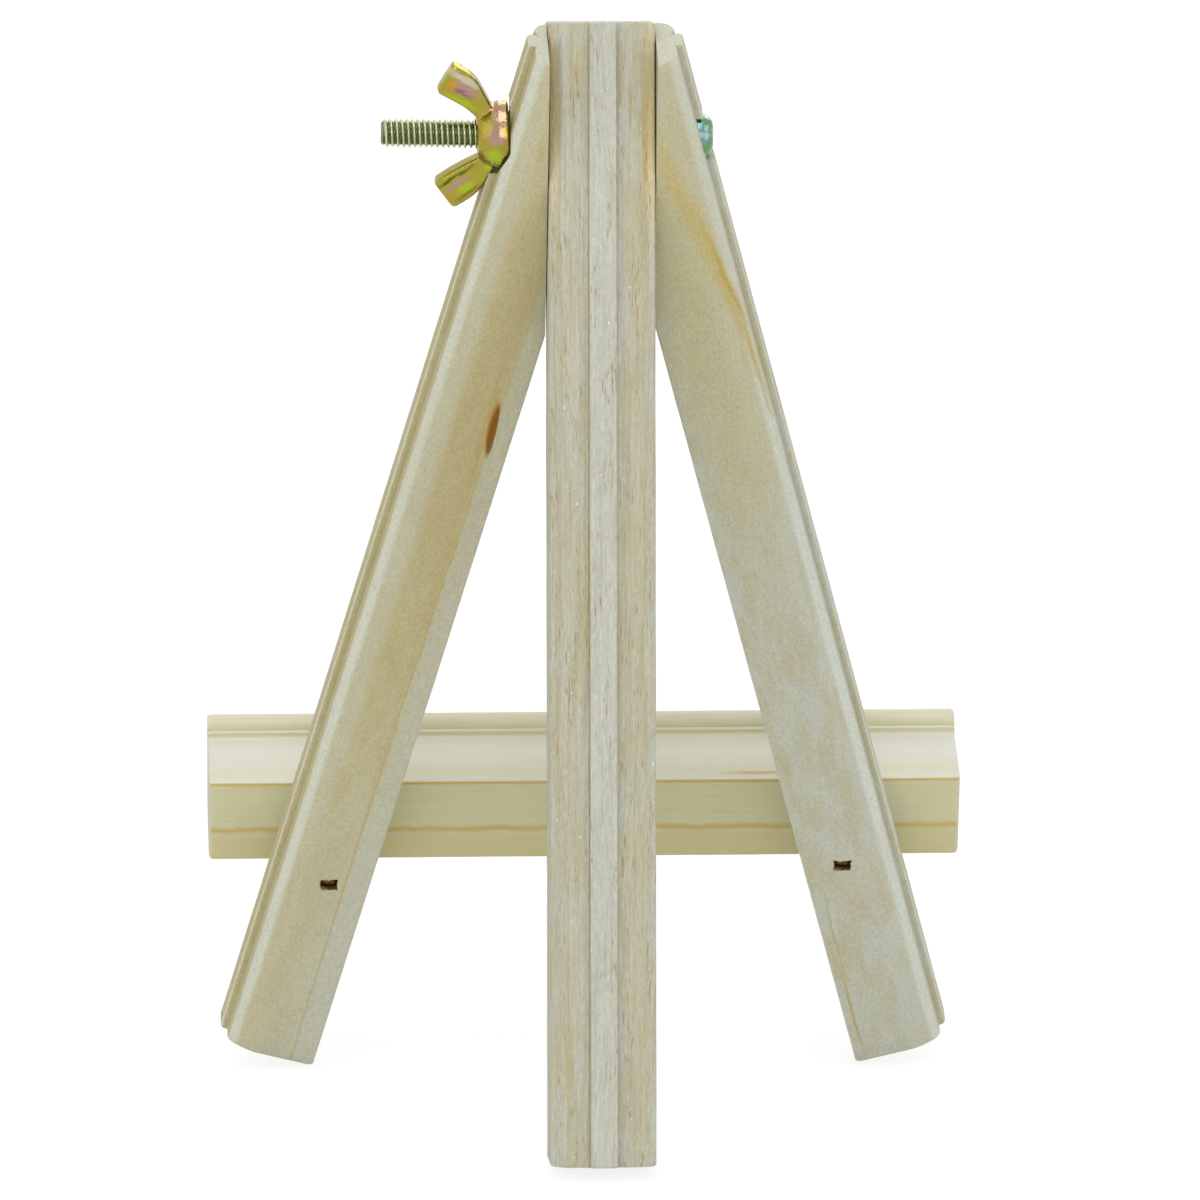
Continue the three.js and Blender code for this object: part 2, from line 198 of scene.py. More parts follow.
class EaselColours(PropertyGroup):
    """Colours of the wood and the metal, and of the light and shade painted on them."""

    leg: colour("Leg", "#bab38d", "Pale wood of the front legs")
    leg_warm: colour("Leg, warm", "#b4a678", "Warmer patches in the front legs")
    # Painted highlight on the front legs' bevels and sideways faces, pale and bluish.
    leg_bevel_highlight: colour("Leg, bevels", "#d2d8ce", "Planed bevels of the front legs")
    # Greyer wood; on the left leg this colour also paints a highlight along the bevel.
    leg_grey: colour("Leg, grey", "#bbbdae", "Greyer wood in the front legs")
    back: colour("Back leg", "#bbbcae", "Pale wood of the back leg")
    back_pale: colour("Back leg, pale", "#bebfb2", "Paler wood of the back leg's strip")
    back_warm: colour("Back leg, warm", "#b2a680", "Tan streaks in the back leg")
    ledge: colour("Ledge", "#cac8a4", "Wood of the ledge's rear and underside")
    ledge_warm: colour("Ledge, warm", "#c8bb85", "Golden growth rings in the ledge")
    ledge_line: colour("Ledge, lines", "#c2a24a", "Golden lines in the ledge")
    # Painted light from above: every face of the ledge that looks up is blended to this paler
    # colour.
    deck: colour("Deck", "#d8d7c8", "Planed wood of the deck")
    deck_warm: colour("Deck, warm", "#d4d0b0", "Warmer bands along the deck")
    deck_pale: colour("Deck, pale", "#dadacf", "Paler band along the deck")
    end_grain: colour("End grain", "#c6c8b7", "Sawn ends")
    latewood: colour("Latewood", "#b09a5c", "Dark lines between growth rings")
    pore: colour("Pores", "#93835a", "Open pores")
    streak: colour("Streak", "#7d4f02", "Resin streak")
    streak_pale: colour("Streak, pale", "#a8741a", "Edge of the resin streak")
    orange: colour("Orange band", "#b1963f", "Orange heartwood")
    orange_pale: colour("Orange, pale", "#bba868", "Paler orange heartwood")
    # Painted warm shade and bounce light on the back leg's top edges, beside the front legs.
    edge_bounce_gold: colour("Golden edge", "#e0c88e", "Golden upper edges of the back leg")
    torn: colour("Torn fibres", "#7a6230", "Torn wood in a brad's hole")
    torn_pale: colour("Torn fibres, pale", "#bda574", "Pale torn wood in a brad's hole")
    zinc: colour("Zinc", "#b4c2bc", "Bright zinc plate")
    zinc_blue: colour("Zinc, blue", "#6a979b", "Blue patches of the screw's plate")
    zinc_green: colour("Zinc, green", "#6f8f4a", "Green patches of the screw's plate")
    yellow_zinc: colour("Yellow zinc", "#a3923c", "Yellow passivated zinc plate")
    gold: colour("Gold film", "#8f7b28", "Golden film at the nut's base")
    green: colour("Green film", "#9aa03c", "Green patches of the passivated film")
    lime: colour("Lime film", "#9db52a", "Bright green stripes of the film")
    pink: colour("Pink film", "#b08886", "Pink patches of the passivated film")
    purple: colour("Purple film", "#8c5f72", "Purple streak of the film")
    # Painted highlight along the upper wing's top edge.
    silver_highlight: colour("Silver film", "#cbbfae", "Thin film at the wings' edges")
    orange_film: colour("Orange film", "#c8932e", "Orange patches of the film")
    dark_film: colour("Dark film", "#4a5216", "Dark green film at the wings' edges")
    thread: colour("Thread", "#c6cba6", "Passivated thread")
    # Painted shade in the thread's roots, darker than the crests.
    thread_root: colour("Thread's roots", "#595d3c", "Roots of the thread")
    brad: colour("Brad", "#4a3a1c", "Dull steel of the brads")
    floor: colour("Floor", "#f4f4f2", "Studio floor")


class EaselStage(PropertyGroup):
    """The camera and the lamps."""

    azimuth: angle("Azimuth", 2.64, "Camera's turn from straight behind, towards the wing nut")
    elevation: angle("Elevation", 12.761, "Camera's height over the level")
    distance: length("Distance", 1711.8, "From the camera to the point it looks at")
    roll: angle("Roll", 0.325, "Camera's roll")
    lens: number("Lens", 356.9, "Focal length in millimetres")
    aim_side: length("Aim sideways", -0.49, "Point looked at, sideways from the middle")
    aim_back: length("Aim back", -3.78, "Point looked at, behind the screw")
    aim_height: length("Aim height", 77.56, "Point looked at, above the floor")
    sky: number("Sky", 0.61, "Strength of the soft light from all round")
    key: number("Key", 5.2, "Power of the large lamp overhead")
    rear: number("Rear", 5.0, "Power of the lamp behind the easel")
    side: number("Side", 0.9, "Power of the lamp on each side")
    front: number("Front", 4.5, "Power of the lamp before the easel's front")


# ---- Places ----


def front_frame():
    """The front frame's own directions: X across, Y to the rear, Z up the frame, from the screw."""
    lean = math.atan2(DECK_NORMAL.y, DECK_NORMAL.z)
    return Matrix.Translation(PIVOT) @ Matrix.Rotation(-lean, 4, "X")


def front_leg_place(side):
    """A front leg's directions: X across it, Y to the rear, Z up the leg, from the screw."""
    t = bpy.context.scene.easel_timber
    place = front_frame() @ Matrix.Rotation(-side * t.splay, 4, "Y")
    if side > 0:
        return place
    foot = Matrix.Translation((0, 0, t.top - t.front_length))
    return place @ foot @ Matrix.Rotation(-t.slack, 4, "Y") @ foot.inverted()


def back_leg_place():
    """The back leg's directions: X across, Y to the rear, Z up the leg, from the screw."""
    lean = bpy.context.scene.easel_timber.back_lean
    return Matrix.Translation(PIVOT) @ Matrix.Rotation(lean, 4, "X")


def brad_place(side):
    """A brad's place in the front frame's directions, on its leg's rear face."""
    low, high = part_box("left_brad" if side > 0 else "right_brad")
    middle = front_frame().inverted() @ ((low + high) / 2)
    return Vector((middle.x, bpy.context.scene.easel_timber.depth / 2, middle.z))


# ---- Mesh tools ----


def new_piece(name, bm, place=None):
    """An object from a bmesh, at its place."""
    bmesh.ops.remove_doubles(bm, verts=bm.verts, dist=0.002 * MM)
    bmesh.ops.recalc_face_normals(bm, faces=bm.faces)
    mesh = bpy.data.meshes.new(name)
    bm.to_mesh(mesh)
    bm.free()
    piece = bpy.data.objects.new(name, mesh)
    bpy.context.scene.collection.objects.link(piece)
    if place is not None:
        piece.matrix_world = place
    return piece


def smooth_shade(piece, sharp=35):
    """Smooth shading, with edges sharper than `sharp` degrees kept crisp."""
    piece.data.shade_smooth()
    piece.data.set_sharp_from_angle(angle=math.radians(sharp))


def apply_modifiers(piece):
    graph = bpy.context.evaluated_depsgraph_get()
    mesh = bpy.data.meshes.new_from_object(piece.evaluated_get(graph))
    piece.modifiers.clear()
    piece.data = mesh


def carve(piece, cutters):
    """Cuts the cutters out of the piece and removes them."""
    for cutter in cutters:
        change = piece.modifiers.new("Carve", "BOOLEAN")
        change.operation = "DIFFERENCE"
        change.solver = "EXACT"
        change.object = cutter
    apply_modifiers(piece)
    for cutter in cutters:
        bpy.data.objects.remove(cutter)


def rounded(corners, steps=5):
    """The points of a closed outline given by its corners, each (x, y, radius)."""
    points = []
    for i, (x, y, radius) in enumerate(corners):
        corner = Vector((x, y))
        before = Vector(corners[i - 1][:2]) - corner
        after = Vector(corners[(i + 1) % len(corners)][:2]) - corner
        if radius == 0:
            points.append(corner)
            continue
        reach = min(radius, before.length / 2, after.length / 2)
        start = corner + before.normalized() * reach
        end = corner + after.normalized() * reach
        for step in range(steps + 1):
            t = step / steps
            points.append(start * (1 - t) ** 2 + corner * 2 * t * (1 - t) + end * t * t)
    return points


def bar(outline, low, high, low_rounding, high_rounding, steps=5):
    """A bar along Z with the outline as its section. Its ends draw in over their roundings."""
    middle = sum(outline, Vector((0, 0))) / len(outline)
    half = sum((p - middle).length for p in outline) / len(outline)
    turns = [math.pi / 2 * i / steps for i in range(steps + 1)]
    ends = []
    for start, way, rounding, order in (
        (low, 1, low_rounding, turns),
        (high, -1, high_rounding, turns[::-1]),
    ):
        for t in order:
            inset = rounding / half * (1 - math.sin(t))
            ends.append((start + way * rounding * (1 - math.cos(t)), 1 - inset))
    bm = bmesh.new()
    loops = []
    for z, s in ends:
        places = [middle + (p - middle) * s for p in outline]
        loops.append([bm.verts.new((p.x, p.y, z)) for p in places])
    skin(bm, loops)
    bm.faces.new(loops[0])
    bm.faces.new(loops[-1])
    return bm


def skin(bm, loops):
    """Faces between neighbouring rings of vertices."""
    for first, second in zip(loops, loops[1:]):
        count = len(first)
        for i in range(count):
            j = (i + 1) % count
            bm.faces.new((first[i], first[j], second[j], second[i]))


def slice_off(bm, point, normal):
    """Cuts off what lies beyond a plane, on its normal's side, and closes the cut."""
    everything = bm.verts[:] + bm.edges[:] + bm.faces[:]
    bmesh.ops.bisect_plane(bm, geom=everything, plane_co=point, plane_no=normal, clear_outer=True)
    bmesh.ops.holes_fill(bm, edges=[e for e in bm.edges if e.is_boundary])


def cross_cut(bm, axis, spacing):
    """Splits the long faces along an axis, so that they can follow a slight unevenness."""
    low = min(v.co[axis] for v in bm.verts)
    high = max(v.co[axis] for v in bm.verts)
    count = max(1, round((high - low) / spacing))
    normal = Vector((0, 0, 0))
    normal[axis] = 1
    for i in range(1, count):
        point = normal * (low + (high - low) * i / count)
        everything = bm.verts[:] + bm.edges[:] + bm.faces[:]
        bmesh.ops.bisect_plane(bm, geom=everything, plane_co=point, plane_no=normal)


def weather(piece, axis, spacing, unevenness):
    """Splits a sawn piece along its grain and makes its edges slightly uneven, as sanded wood is."""
    bm = bmesh.new()
    bm.from_mesh(piece.data)
    cross_cut(bm, axis, spacing)
    bmesh.ops.remove_doubles(bm, verts=bm.verts, dist=0.004 * MM)
    bm.normal_update()
    for vertex in bm.verts:
        place = vertex.co / MM
        slow = noise.noise(place * 0.11 + Vector((7, 3, 1)))
        fine = noise.noise(place * 0.7)
        vertex.co -= vertex.normal * unevenness * (0.5 + 0.35 * slow + 0.35 * fine)
    bm.to_mesh(piece.data)
    bm.free()


def cylinder(name, radius, start, end, segments=48):
    """A cylinder between two points."""
    bm = bmesh.new()
    along = end - start
    turn = along.to_track_quat("Z", "Y").to_matrix().to_4x4()
    place = Matrix.Translation((start + end) / 2) @ turn
    bmesh.ops.create_cone(
        bm, cap_ends=True, segments=segments, radius1=radius, radius2=radius, depth=along.length,
        matrix=place,
    )
    return new_piece(name, bm)


def lathe(profile, segments):
    """A solid turned about X. The profile is (x, radius) from one end of the axis to the other."""
    bm = bmesh.new()
    loops = []
    for x, radius in profile[1:-1]:
        turns = [2 * math.pi * i / segments for i in range(segments)]
        loops.append([bm.verts.new((x, radius * math.cos(t), radius * math.sin(t))) for t in turns])
    skin(bm, loops)
    for loop, (x, _) in ((loops[0], profile[0]), (loops[-1], profile[-1])):
        tip = bm.verts.new((x, 0, 0))
        for i in range(segments):
            bm.faces.new((loop[i], loop[(i + 1) % segments], tip))
    return bm


def torn_slot(name, width, height, depth, place, seed):
    """A cutter for a torn, roughly rectangular hole that goes in along -Y from the place."""
    bm = bmesh.new()
    corners = [(-1, -1, 0), (1, -1, 0), (1, 1, 0), (-1, 1, 0)]
    across, up = width / 2, height / 2
    outline = []
    for (x0, y0, _), (x1, y1, _) in zip(corners, corners[1:] + corners[:1]):
        for step in range(6):
            t = step / 6
            outline.append(Vector(((x0 + (x1 - x0) * t) * across, (y0 + (y1 - y0) * t) * up)))
    loops = []
    for level in range(7):
        share = level / 6
        loop = []
        for p in outline:
            rough = noise.noise(Vector((p.x, p.y, share * depth)) / MM * 1.7 + Vector((seed, 0, 0)))
            swell = 1 + 0.22 * rough - 0.12 * share
            at = Vector((p.x * swell, depth * (0.3 - 1.3 * share), p.y * swell))
            loop.append(bm.verts.new(place + at))
        loops.append(loop)
    skin(bm, loops)
    bm.faces.new(loops[0])
    bm.faces.new(loops[-1])
    return new_piece(name, bm)


# ---- Materials ----


class Shading:
    """The nodes of a new material, or of the world, added one at a time."""

    def __init__(self, name, owner=None):
        self.material = owner or bpy.data.materials.new(name)
        self.material.use_nodes = True
        self.tree = self.material.node_tree
        self.surface = self.tree.nodes.get("Principled BSDF")

    def feed(self, socket, value):
        if isinstance(value, bpy.types.NodeSocket):
            self.tree.links.new(value, socket)
        else:
            socket.default_value = value

    def node(self, kind, inputs=None, **settings):
        made = self.tree.nodes.new("ShaderNode" + kind)
        for name, value in settings.items():
            setattr(made, name, value)
        for socket, value in (inputs or {}).items():
            self.feed(made.inputs[socket], value)
        return made

    def math(self, operation, *values):
        made = self.node("Math", operation=operation)
        for socket, value in zip(made.inputs, values):
            self.feed(socket, value)
        return made.outputs[0]

    def times(self, first, second):
        return self.math("MULTIPLY", first, second)

    def plus(self, first, second):
        return self.math("ADD", first, second)

    def minus(self, first, second):
        return self.math("SUBTRACT", first, second)

    def rest(self, share):
        """What is left of 1 beside a share."""
        return self.math("SUBTRACT", 1, share)

    def oval(self, across, half_width, along, half_length):
        """The distance from an oval's middle, where its edge is at 1."""
        wide = self.math("POWER", self.math("ABSOLUTE", self.math("DIVIDE", across, half_width)), 2)
        tall = self.math("POWER", self.math("ABSOLUTE", self.math("DIVIDE", along, half_length)), 2)
        return self.math("SQRT", self.plus(wide, tall))

    def smooth(self, value, low, high):
        """0 below low, 1 above high, and smooth between."""
        inputs = {"Value": value, "From Min": low, "From Max": high}
        return self.node("MapRange", inputs, interpolation_type="SMOOTHSTEP").outputs[0]

    def blend(self, share, first, second, kind="MIX"):
        made = self.node("Mix", data_type="RGBA", blend_type=kind)
        self.feed(made.inputs[0], share)
        for socket, value in ((made.inputs[6], first), (made.inputs[7], second)):
            self.feed(socket, value if isinstance(value, bpy.types.NodeSocket) else (*value, 1))
        return made.outputs[2]

    def noise(self, place, scale, detail=2, rough=0.5, twist=0):
        names = ("Vector", "Scale", "Detail", "Roughness", "Distortion")
        inputs = dict(zip(names, (place, scale, detail, rough, twist)))
        return self.node("TexNoise", inputs).outputs[0]

    def vector(self, x, y, z):
        return self.node("CombineXYZ", {0: x, 1: y, 2: z}).outputs[0]

    def millimetres(self):
        """The place on the piece in its own directions, in millimetres, as x, y, z."""
        place = self.node("TexCoord").outputs["Object"]
        scaled = self.node("VectorMath", {0: place, 1: (1000, 1000, 1000)}, operation="MULTIPLY")
        return self.node("SeparateXYZ", {0: scaled.outputs[0]}).outputs

    def facing(self):
        """The surface's direction in the piece's own directions, as x, y, z."""
        return self.node("SeparateXYZ", {0: self.node("TexCoord").outputs["Normal"]}).outputs


FACES = {"rear": (1, 1), "top": (2, 1), "left": (0, 1), "right": (0, -1)}


def mark(face, across, along, half_width, half_length, tint, strength, **more):
    """A mark on a face of the wood, in millimetres: across the grain and along it."""
    made = {
        "face": face, "across": across, "along": along, "half_width": half_width,
        "half_length": half_length, "tint": tint, "strength": strength,
        "lean": 0.0, "bend": 0.0, "soft": 0.3, "wander": 0.5,
    }
    made.update(more)
    return made


def mark_share(s, made, place, facing, grain):
    """How strongly a mark tints the wood: its strength inside its long oval, 0 outside."""
    axis, sign = FACES[made["face"]]
    across, along = place[3 - axis - grain], place[grain]
    seed = made["across"] + 7.3
    wave = s.noise(s.vector(s.times(along, 0.2), seed, made["along"]), 1, 3, 0.6)
    wander = s.times(s.minus(wave, 0.5), 2 * made["wander"])
    run = s.minus(along, made["along"])
    course = s.plus(s.times(run, made["lean"]), wander)
    course = s.plus(course, s.times(s.times(run, run), made["bend"]))
    side = s.minus(s.minus(across, made["across"]), course)
    spread = s.oval(side, made["half_width"], run, made["half_length"])
    inside = s.rest(s.smooth(spread, made["soft"], 1.05))
    turned = s.smooth(s.times(facing[axis], sign), 0.3, 0.7)
    return s.times(s.times(inside, turned), made["strength"])


def timber(name, look):
    """Bare wood whose grain runs along the piece, with its own marks, with painted light on its
    bevels and on faces that look up, and with painted shade in a brad's hole.
    """
    colours = bpy.context.scene.easel_colours
    s = Shading(name)
    place = s.millimetres()
    facing = s.facing()
    grain = look["grain"]
    others = [i for i in range(3) if i != grain]

    def stretched(across, along, shift=0.0):
        """Coordinates for a pattern, by its fineness across the grain and along it."""
        parts = [None, None, None]
        for i in others:
            parts[i] = s.math("MULTIPLY_ADD", place[i], across, shift)
        parts[grain] = s.times(place[grain], along)
        return s.vector(*parts)

    patch = s.smooth(s.noise(stretched(0.26, 0.1), 1, 3, 0.6), 0.4, 0.62)
    streak = s.smooth(s.noise(stretched(1.1, 0.035, 5.0), 1, 4, 0.6), 0.46, 0.7)
    fibre = s.noise(stretched(3.0, 0.11), 1, 4, 0.6)
    speck = s.noise(stretched(*look["speck"]), 1, 4, 0.75)
    dash_where = s.smooth(s.noise(stretched(0.5, 0.09, 2.0), 1, 2), 0.42, 0.6)
    dash = s.smooth(s.noise(stretched(4.2, 0.42), 1, 2, 0.6), 0.57, 0.68)
    dash = s.times(dash, dash_where)
    curl = s.smooth(s.noise(stretched(1.9, 1.5, 9.0), 1, 1), look["curls"], look["curls"] + 0.03)

    tone = s.blend(s.times(patch, look["patches"]), look["pale"], look["warm"])
    tone = s.blend(s.times(streak, look["streaks"]), tone, look["warm"])
    # Painted light from above: faces that look up are blended to the paler top colour.
    if look["top"]:
        tone = s.blend(s.times(s.smooth(facing[2], 0.3, 0.8), 0.92), tone, look["top"])
    # Painted highlight: faces turned to the side, as on the bevels, are blended to a pale bluish
    # colour.
    if look["bevel"]:
        turned = s.math("ABSOLUTE", facing[0])
        bevel = s.minus(s.smooth(turned, 0.4, 0.6), s.smooth(turned, 0.9, 0.98))
        tone = s.blend(s.times(bevel, 0.65), tone, look["bevel"])
    for made in look["marks"]:
        tone = s.blend(mark_share(s, made, place, facing, grain), tone, made["tint"])
    tone = s.blend(s.times(dash, look["dashes"]), tone, colours.pore)
    end_share = s.smooth(s.math("ABSOLUTE", facing[grain]), 0.5, 0.75)
    dots = s.smooth(s.noise(s.vector(*place), 2.4, 3, 0.7), 0.5, 0.66)
    end_tone = s.blend(s.times(dots, 0.5), colours.end_grain, look["warm"])
    tone = s.blend(s.times(end_share, 0.9), tone, end_tone)
    tone = s.blend(s.times(curl, 0.75), tone, (0.8, 0.8, 0.76))
    if look["hole"]:
        tone = torn_tone(s, tone, place, look["hole"], colours)
    shade = s.math("MULTIPLY_ADD", s.minus(fibre, 0.5), look["fibre"], 1)
    shade = s.math("MULTIPLY_ADD", s.minus(speck, 0.5), look["speckle"], shade)
    tone = s.blend(1, tone, s.vector(shade, shade, shade), "MULTIPLY")
    s.feed(s.surface.inputs["Base Color"], tone)
    s.feed(s.surface.inputs["Roughness"], s.math("MULTIPLY_ADD", speck, 0.25, 0.6))
    s.surface.inputs["Specular IOR Level"].default_value = 0.3
    height = s.math("MULTIPLY_ADD", speck, 0.8, s.times(fibre, 0.4))
    height = s.minus(height, s.times(dash, 0.4))
    height = s.plus(height, s.times(curl, 1.2))
    bump = s.node("Bump", {"Height": height, "Strength": 0.4, "Distance": 0.08 * MM})
    s.feed(s.surface.inputs["Normal"], bump.outputs[0])
    return s.material


def torn_tone(s, tone, place, hole, colours):
    """Gives the inside of a brad's hole dark torn wood, with painted shade that deepens further in,
    and golden torn fibres on one side of it.
    """
    x = s.minus(place[0], hole[0])
    z = s.minus(place[2], hole[2])
    near = s.math("LESS_THAN", s.oval(x, 1.75, z, 1.4), math.sqrt(1.3))
    sunk = s.rest(s.smooth(place[1], hole[1] - 0.22, hole[1] - 0.1))
    share = s.times(near, sunk)
    rough = s.noise(s.vector(*place), 2.2, 2)
    pale = s.smooth(s.plus(s.times(x, 0.35), rough), 0.5, 0.75)
    # Painted shade: the hole turns near black the deeper it goes.
    deep = s.smooth(s.minus(hole[1], place[1]), 0.4, 1.3)
    inside = s.blend(pale, colours.torn, colours.torn_pale)
    inside = s.blend(s.times(deep, 0.6), inside, (0.06, 0.045, 0.015))
    return s.blend(share, tone, inside)


def wood_look(colours, **changes):
    """The look of a piece of wood: plain pale stock, with what is different in this piece."""
    look = {
        "grain": 2, "pale": colours.leg, "warm": colours.leg_warm, "top": None, "hole": None,
        "bevel": colours.leg_bevel_highlight, "patches": 0.5, "streaks": 0.12, "dashes": 0.1, "curls": 0.83,
        "fibre": 0.08, "speck": (2.9, 1.9), "speckle": 0.75, "marks": [],
    }
    look.update(changes)
    return look


def hole_in(side):
    """A brad's hole in its leg's own directions, in millimetres."""
    place = front_leg_place(side).inverted() @ front_frame() @ brad_place(side)
    return place / MM


def left_leg_look(c):
    return wood_look(c, hole=hole_in(1), marks=[
        mark("rear", 6, -48, 8, 52, c.leg_warm, 0.75, soft=0.1, wander=1.5),
        mark("rear", 0, -155, 14, 75, c.leg_grey, 0.7, soft=0.1),
        mark("rear", 1.4, -80, 1.9, 160, c.leg_grey, 0.55, soft=0.8, lean=-0.008, wander=0.5),
        mark("rear", 4.2, -60, 0.8, 80, c.leg_warm, 0.5, bend=-0.00012, wander=0.5),
        mark("rear", 3.65, -120, 0.2, 130, c.latewood, 0.55, bend=-0.00013, wander=0.2, soft=0.2),
        mark("rear", 4.3, -46, 0.5, 14, c.latewood, 0.6, lean=0.03, wander=0.4),
        mark("rear", 3.4, -45.6, 0.76, 5.0, c.streak_pale, 0.9, lean=0.055, wander=0.15, soft=0.6),
        mark("rear", 3.1, -46.3, 0.62, 4.7, c.streak, 0.9, lean=0.06, wander=0.15, soft=0.7),
        # Painted highlight: a pale grey band along the bevel of the left leg's rear face.
        mark("rear", 10.5, -60, 2.2, 110, c.leg_grey, 0.45, soft=0.2, wander=1.0),
        mark("left", 4.0, -80, 1.6, 160, c.leg_warm, 0.25, soft=0.3),
    ])


def right_leg_look(c):
    return wood_look(c, pale=c.leg_grey, hole=hole_in(-1), patches=0.4, marks=[
        mark("rear", -6.5, -20, 9, 70, c.leg, 0.85, soft=0.2, wander=1.0),
        mark("rear", -9.0, -12, 2.2, 22, c.orange_pale, 0.7, lean=0.17, wander=1.0, soft=0.1),
        mark("rear", -11.6, -28, 1.3, 22, c.orange_pale, 0.8, lean=0.1, wander=0.7, soft=0.1),
        mark("rear", -11.6, -24, 0.5, 13, c.orange, 0.7, lean=0.14, wander=0.6, soft=0.1),
        mark("rear", -12.6, -42, 0.5, 12, c.orange, 0.5, lean=0.02, wander=0.6, soft=0.1),
        mark("rear", -1.5, -147, 0.35, 9, c.orange, 0.7, lean=0.03, wander=0.5, soft=0.2),
        mark("rear", -1.9, -132, 0.22, 12, c.latewood, 0.5, lean=-0.03, wander=0.6, soft=0.2),
        mark("right", 0.5, -46, 1.0, 6.5, c.streak, 0.6, wander=0.8, soft=0.1),
    ])


def back_leg_look(c):
    return wood_look(
        c, pale=c.back, warm=c.back_warm, bevel=None, patches=0.35, streaks=0.6, dashes=0.75,
        curls=0.765, fibre=0.5, speck=(3.4, 0.8), speckle=0.75, marks=[
            mark("rear", 5.0, -70, 2.6, 110, c.back_warm, 0.2, soft=0.4, wander=1.2),
            mark("rear", -4.9, -70, 2.6, 120, c.back_warm, 0.4, soft=0.4, wander=1.2),
            mark("rear", 2.6, -60, 0.5, 80, c.back_warm, 0.6, soft=0.1, wander=0.6),
            mark("rear", -0.05, -65, 1.85, 400, c.back_pale, 0.8, soft=0.93, wander=0.0),
            mark("rear", 2.0, -65, 0.08, 400, c.pore, 0.25, soft=0.2, wander=0.0),
            # Painted warm shade and bounce light along the back leg's top edge beside the right
            # front leg.
            mark("rear", -6.9, 2, 0.9, 24, c.edge_bounce_gold, 0.8, wander=0.3, soft=0.2),
            mark("rear", -5.9, 0, 0.9, 22, c.orange_pale, 0.55, wander=0.4, soft=0.1),
            mark("rear", -4.0, 4, 0.25, 6, c.orange, 0.6, wander=0.3),
            # Painted warm shade and bounce light along the back leg's top edge beside the left front
            # leg.
            mark("rear", 7.0, 2, 1.1, 22, c.edge_bounce_gold, 0.65, wander=0.3, soft=0.1),
            mark("rear", 3.4, 10, 0.5, 8, c.orange_pale, 0.4, wander=0.4, soft=0.1),
        ],
    )


def ledge_look(c):
    # The top colour is painted light from above on the ledge's up-facing faces.
    return wood_look(
        c, grain=0, pale=c.ledge, warm=c.ledge_warm, bevel=None, top=c.deck, patches=0.12,
        streaks=0.22, dashes=0.0, curls=0.95, fibre=0.16, speck=(1.8, 0.3), speckle=0.06, marks=[
            mark("rear", -110.5, 0, 0.35, 400, c.ledge_line, 0.75, wander=0.1, soft=0.2),
            mark("rear", -118.2, 0, 0.75, 400, c.ledge_line, 0.7, wander=0.5, soft=0.1),
            mark("rear", -121.3, 0, 3.2, 400, c.ledge_warm, 0.5, wander=0.4, soft=0.4),
            mark("top", -23.0, 0, 2.0, 400, c.deck_warm, 0.65, wander=0.3, soft=0.1),
            mark("top", -10.6, 0, 2.0, 400, c.deck_warm, 0.6, wander=0.4, soft=0.1),
            mark("top", -16.5, 0, 3.2, 400, c.deck_pale, 0.6, wander=0.5, soft=0.2),
            mark("top", -9.6, -26, 0.8, 9, c.ledge_line, 0.7, wander=0.4, soft=0.1),
            mark("rear", -108.6, 0, 0.7, 400, c.deck_warm, 0.8, wander=0.1, soft=0.3),
        ],
    )


def film_stripes(c):
    """The stripes of the nut's film. Each has its wing (1 is the upper one, -1 the lower, 0 both),
    its middle along and across the wing, its half length and half width, its colour and strength."""
    return (
        # Painted highlight along the upper wing's top edge.
        (1, 10.0, 4.4, 3.5, 0.7, c.silver_highlight, 0.8),
        (1, 9.0, 3.3, 3.2, 0.8, c.pink, 0.9),
        (1, 9.6, 2.6, 2.4, 0.4, c.purple, 0.85),
        (1, 8.8, 1.3, 3.4, 0.6, c.lime, 0.95),
        (1, 11.2, 2.9, 1.0, 0.9, c.orange_film, 0.7),
        (1, 3.2, 2.6, 1.8, 1.6, c.pink, 0.7),
        (-1, 10.2, 1.5, 2.6, 0.7, c.pink, 0.8),
        (-1, 9.4, 2.6, 2.0, 0.7, c.lime, 0.95),
        (-1, 9.5, 4.3, 3.0, 0.5, c.yellow_zinc, 0.9),
        (-1, 9.6, 3.5, 2.6, 0.35, c.dark_film, 0.5),
        (-1, 3.6, 1.9, 2.4, 1.2, c.lime, 0.95),
        (-1, 9.6, 0.5, 4.0, 0.35, c.dark_film, 0.85),
        (0, 1.0, 1.8, 1.6, 3.6, c.gold, 0.6),
        (1, 2.4, 0.2, 1.6, 1.6, c.pink, 0.85),
        (-1, 2.6, 0.0, 1.5, 1.4, c.lime, 0.8),
    )


